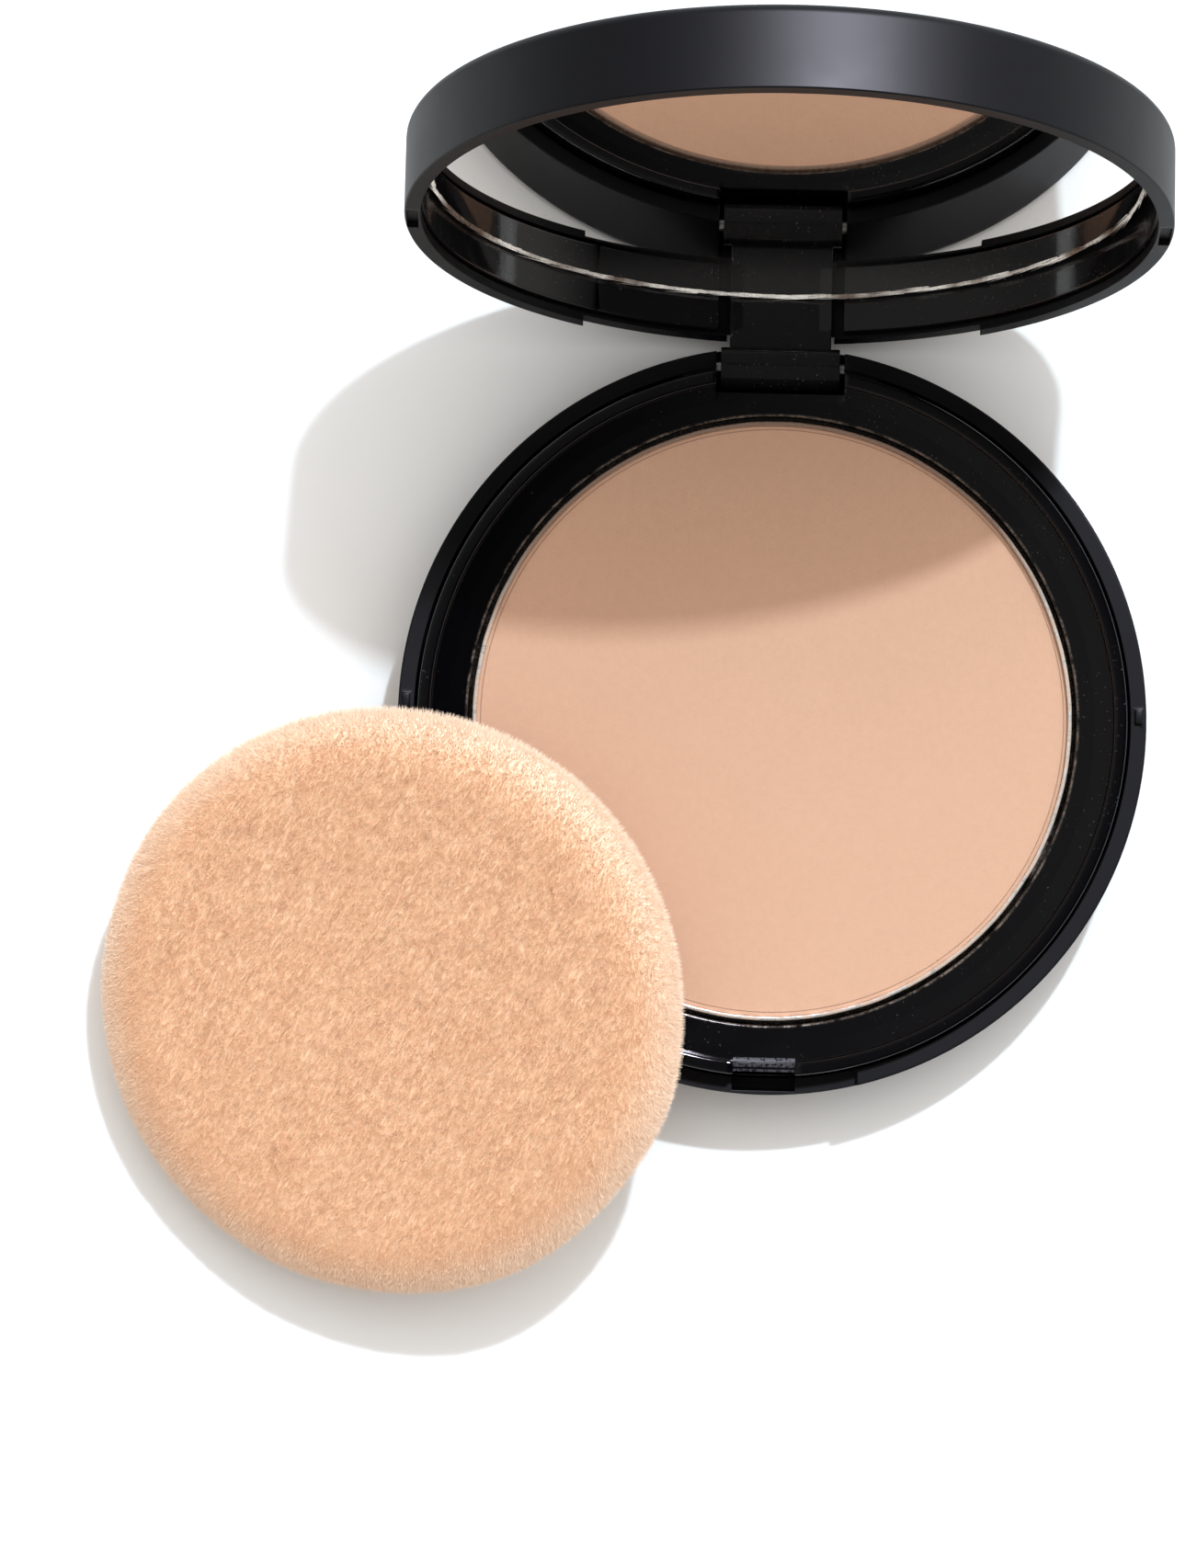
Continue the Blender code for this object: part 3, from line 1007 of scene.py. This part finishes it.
class Tree:
    """A Geometry Nodes tree with named inputs."""

    def __init__(self, name, inputs):
        self.group = bpy.data.node_groups.new(name, "GeometryNodeTree")
        self.inputs = {}
        for label, kind in inputs.items():
            self.inputs[label] = self.socket(label, "INPUT", kind).identifier
        self.socket("Geometry", "OUTPUT", "Geometry")
        self.start = self.group.nodes.new("NodeGroupInput")
        self.end = self.group.nodes.new("NodeGroupOutput")

    def socket(self, label, way, kind):
        sockets = self.group.interface
        return sockets.new_socket(label, in_out=way, socket_type="NodeSocket" + kind)

    def node(self, kind, settings, inputs, output=0):
        """A node of that kind, with its settings, then its inputs; an input may be a named input."""
        made = self.group.nodes.new(kind)
        for name, value in settings.items():
            setattr(made, name, value)
        for name, value in inputs.items():
            if isinstance(value, bpy.types.NodeSocket):
                self.group.links.new(value, made.inputs[name])
            elif isinstance(value, str) and value in self.inputs:
                self.group.links.new(self.start.outputs[value], made.inputs[name])
            else:
                made.inputs[name].default_value = value
        return made.outputs[output]

    def chance(self, low, high, vector=False):
        """A random number, or vector, of its own for each point."""
        kind, first, output = ("FLOAT_VECTOR", 0, 0) if vector else ("FLOAT", 2, 1)
        draw = {first: low, first + 1: high, "Seed": "Seed"}
        return self.node("FunctionNodeRandomValue", {"data_type": kind}, draw, output)

    def finish(self, geometry):
        """Ends the tree: instances made real, in the named material."""
        real = self.node("GeometryNodeRealizeInstances", {}, {"Geometry": geometry})
        coated = self.node("GeometryNodeSetMaterial", {}, {"Geometry": real, "Material": "Material"})
        self.group.links.new(coated, self.end.inputs[0])

    def grow(self, piece, **values):
        """Runs the tree on a piece and makes what it grows the piece's own mesh."""
        modifier = piece.modifiers.new(self.group.name, "NODES")
        modifier.node_group = self.group
        for label, value in values.items():
            modifier[self.inputs[label]] = value
        settle(piece)


def chip_tree():
    """Slivers of glass round a circle, each its own size and a little off the circle's line."""
    sizes = {"Geometry": "Geometry", "Radius": "Float", "Count": "Int", "Width": "Float"}
    sizes.update({"Length": "Float", "Stray": "Float", "Seed": "Int", "Material": "Material"})
    tree = Tree("glass_slivers", sizes)
    circle = tree.node("GeometryNodeCurvePrimitiveCircle", {}, {"Radius": "Radius", "Resolution": 256})
    spots = tree.node("GeometryNodeCurveToPoints", {}, {"Curve": circle, "Count": "Count"})
    along = spots.node.outputs["Rotation"]
    back = tree.node("ShaderNodeMath", {"operation": "MULTIPLY"}, {0: "Stray", 1: -1.0})
    low = tree.node("ShaderNodeCombineXYZ", {}, {0: back, 1: back, 2: back})
    high = tree.node("ShaderNodeCombineXYZ", {}, {0: "Stray", 1: "Stray", 2: 0.0})
    offset = {"Geometry": spots, "Offset": tree.chance(low, high, True)}
    strewn = tree.node("GeometryNodeSetPosition", {}, offset)
    flake = {"Vertices": 3, "Radius Bottom": "Width", "Radius Top": 0.0, "Depth": "Length"}
    chip = tree.node("GeometryNodeMeshCone", {}, flake)
    askew = tree.chance((-chip_lean[0], -chip_lean[1], 0.0), chip_lean, True)
    turn = tree.node("FunctionNodeEulerToRotation", {}, {0: askew})
    way = tree.node("FunctionNodeRotateRotation", {"rotation_space": "LOCAL"}, {0: along, 1: turn})
    planted = {"Points": strewn, "Instance": chip, "Rotation": way, "Scale": tree.chance(0.2, 1.0)}
    tree.finish(tree.node("GeometryNodeInstanceOnPoints", {}, planted))
    return tree


def ground_glass():
    """Snapped and ground glass: white facets with a painted glow, in bright patches among darker brown
    ones.
    """
    # The emission is a painted glow: the slivers give off light of their own.
    finish = Finish("ground_glass", (0.9, 0.88, 0.84), 0.25, 0.35, Emission_Strength=0.2)
    facets = finish.noise(finish.place, 2600.0, 1.0)
    finish.set("Roughness", finish.between(facets, 0.35, 0.65, 0.12, 0.5))
    bright_and_glowing = finish.between(finish.noise(finish.place, 150.0, 2.0, 0.6), 0.38, 0.6)
    finish.set("Base Color", finish.mix(bright_and_glowing, (0.3, 0.22, 0.17), (1.0, 0.98, 0.94)))
    finish.set("Emission Color", finish.mix(bright_and_glowing, (0.12, 0.08, 0.06), (1.0, 0.97, 0.92)))
    return finish


chipping = ground_glass()
chips = bpy.data.objects.new("mirror_edge_chips", bpy.data.meshes.new("mirror_edge_chips"))
scene.collection.objects.link(chips)
chip_tree().grow(
    chips,
    Radius=chip_ring,
    Count=chip_count,
    Width=chip_width,
    Length=chip_length,
    Stray=chip_stray,
    Seed=3,
    Material=chipping.material,
)
chips.data.transform(opening @ Matrix.Translation((mirror_shift, 0, mirror_face)))
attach(chips, "lid")


# Puff covers: two rounds of peach velour, sealed to each other round the edge over a disc of foam.
# The pile is short and dense. The top round is fuller at its edge than the one it lies on.
puff_joint = next(joint for joint in frame["joints"] if joint["name"] == "puff_turn")
puff_foot = Vector(puff_joint["pos_m"])
puff_lean = math.radians(180 - puff_joint["range_deg"][1])
puff_radius = 0.0293
puff_half = 0.004
puff_arm = puff_radius - puff_half
shoulder = 0.006
pile_height = 0.00045
fibre_length = 0.0006
fibre_width = 0.000029
fibre_lean = 0.3
top_density = 8.0e7
under_density = 4.5e7
cover_thickness = 0.0003
cover_segments = 144
arc_steps = 20
flat_rings = (0.0, 0.2, 0.4, 0.6, 0.8)
seam_half = 0.00015
edge_wander = 0.0003
swell_height = 0.00018
outer_skin = 0.975
puff_place = (
    Matrix.Translation(puff_foot)
    @ Matrix.Rotation(math.atan2(puff_foot.y, puff_foot.x) + math.pi, 4, "Z")
    @ Matrix.Rotation(-puff_lean, 4, "Y")
    @ Matrix.Translation((puff_arm, 0, 0))
)
peach = (0.9, 0.61, 0.405)
peach_pale = (0.95, 0.7, 0.495)
peach_painted_sheen = (0.98, 0.85, 0.74)


def velour():
    """Short peach pile: clouded where it lies another way, and paler towards its rim, a painted sheen.
    """
    finish = Finish("peach_velour", peach, 0.9, Specular_IOR_Level=0.2)
    finish.set("Sheen Weight", 0.35)
    finish.set("Sheen Roughness", 0.45)
    finish.set("Sheen Tint", (1.0, 0.86, 0.74, 1.0))
    lay = finish.noise(finish.place, 260.0, 4.0, 0.6)
    tufts = finish.noise(finish.place, 2400.0, 2.0, 0.6)
    tone = finish.between(lay * 0.5 + tufts * 0.5, 0.3, 0.7)
    # The paler rim is painted sheen.
    spread = finish.from_axis(finish.moved(puff_place.translation, puff_place.to_euler()))
    painted_rim_sheen = finish.between(spread, 0.85 * puff_radius, puff_radius, 0.0, 0.6)
    finish.set("Base Color", finish.mix(painted_rim_sheen, finish.mix(tone, peach, peach_pale), peach_painted_sheen))
    finish.set("Normal", finish.relief(tufts, 0.00002))
    return finish


def pile_tree():
    """Fibres on the outside of a skin: each is a three-sided spike that leans its own way."""
    sizes = {"Geometry": "Geometry", "Density": "Float", "Length": "Float", "Width": "Float"}
    sizes.update({"Lean": "Float", "Seed": "Int", "Material": "Material"})
    tree = Tree("velour_pile", sizes)
    flag = {"data_type": "BOOLEAN"}
    outside = tree.node("GeometryNodeInputNamedAttribute", flag, {"Name": "outside"})
    scatter = {"Mesh": "Geometry", "Selection": outside, "Density": "Density", "Seed": "Seed"}
    spots = tree.node("GeometryNodeDistributePointsOnFaces", {}, scatter)
    upright = spots.node.outputs["Rotation"]
    spike = {"Radius Bottom": "Width", "Radius Top": 0.0, "Depth": "Length", "Vertices": 3}
    cone = tree.node("GeometryNodeMeshCone", {"fill_type": "NONE"}, spike)
    back = tree.node("ShaderNodeMath", {"operation": "MULTIPLY"}, {0: "Lean", 1: -1.0})
    low = tree.node("ShaderNodeCombineXYZ", {}, {0: back, 1: back, 2: 0.0})
    high = tree.node("ShaderNodeCombineXYZ", {}, {0: "Lean", 1: "Lean", 2: 6.28})
    turn = tree.node("FunctionNodeEulerToRotation", {}, {0: tree.chance(low, high, True)})
    local = {"rotation_space": "LOCAL"}
    way = tree.node("FunctionNodeRotateRotation", local, {0: upright, 1: turn})
    planted = {"Points": spots, "Instance": cone, "Rotation": way, "Scale": tree.chance(0.5, 1.35)}
    fibres = tree.node("GeometryNodeInstanceOnPoints", {}, planted)
    both = tree.node("GeometryNodeJoinGeometry", {}, {0: fibres})
    tree.group.links.new(tree.start.outputs["Geometry"], both.node.inputs[0])
    tree.finish(both)
    return tree


velour_finish = velour()
pile = pile_tree()
skin_half = puff_half - pile_height
skin_inner = skin_half - cover_thickness


def uneven(place):
    """Foam is never quite flat or round."""
    outward = Vector((place.x, place.y, 0)) / puff_radius
    swell = noise.noise(place * 55.0 + Vector((3.0, 1.0, 0.0)))
    edge = noise.noise(Vector((place.x, place.y, 0)) * 70.0)
    lift = swell * swell_height * (1 if place.z > 0 else -1)
    return outward * edge * edge_wander + Vector((0, 0, lift))


def cover_outline(side, shoulder_width):
    """One cover's section: out over its face, round its shoulder to the seam, and back inside."""
    flat = puff_radius - shoulder_width
    arcs = []
    for height, start, end in ((skin_half, 90, 0), (skin_inner, 0, 90)):
        seam_angle = math.degrees(math.asin(seam_half / height))
        first, last = (max(angle, seam_angle) for angle in (start, end))
        reach = shoulder_width + height - puff_half
        for k in range(arc_steps + 1):
            angle = math.radians(first + (last - first) * k / arc_steps)
            arcs.append((flat + reach * math.cos(angle), height * math.sin(angle)))
    outer_flat = [(flat * share, arcs[0][1]) for share in flat_rings]
    inner_flat = [(flat * share, arcs[-1][1]) for share in reversed(flat_rings)]
    outline = [*outer_flat, *arcs, *inner_flat]
    if side > 0:
        return outline
    return [(radius, -height) for radius, height in reversed(outline)]


def mark_outside(cover, shoulder_width):
    """Marks the faces of a cover's outer skin, where its pile grows."""
    outside = cover.data.attributes.new("outside", "BOOLEAN", "FACE")
    flat = puff_radius - shoulder_width
    for face in cover.data.polygons:
        across = max(face.center.xy.length - flat, 0) / (shoulder_width + skin_half - puff_half)
        height = face.center.z / skin_half
        outside.data[face.index].value = math.hypot(across, height) > outer_skin


for name, node, side, shoulder_width, density in (
    ("puff_top_cover", "puff_front", 1, shoulder, top_density),
    ("puff_under_cover", "puff_back", -1, puff_half, under_density),
):
    cover = turned(name, cover_outline(side, shoulder_width), cover_segments)
    mark_outside(cover, shoulder_width)
    nudged(cover, uneven)
    cover.data.transform(puff_place)
    dressed(cover, velour_finish)
    pile.grow(
        cover,
        Density=density / 1,
        Length=fibre_length,
        Width=fibre_width,
        Lean=fibre_lean,
        Seed=7,
        Material=velour_finish.material,
    )
    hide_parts(node)
    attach(cover, "puff")


# Foam: a disc of white open-cell foam inside the covers, held by their seam. It keeps its plain
# shape, because only a line of it can be seen, in the seam.
def open_cell_foam():
    """Fine open cells, each pit painted darker, as shade."""
    finish = Finish("open_cell_foam", (0.84, 0.82, 0.77), 0.9)
    cells = finish.node("TexVoronoi", {}, {"Vector": finish.place, "Scale": 2600.0}, "Distance")
    # The pits are painted darker: painted shade.
    tone = finish.between(cells, 0.1, 0.7)
    finish.set("Base Color", finish.mix(tone, (0.66, 0.63, 0.57), (0.86, 0.84, 0.79)))
    finish.set("Normal", finish.relief(cells, 0.00015))
    return finish


refinished(frame["nodes"]["puff_foam"], open_cell_foam())
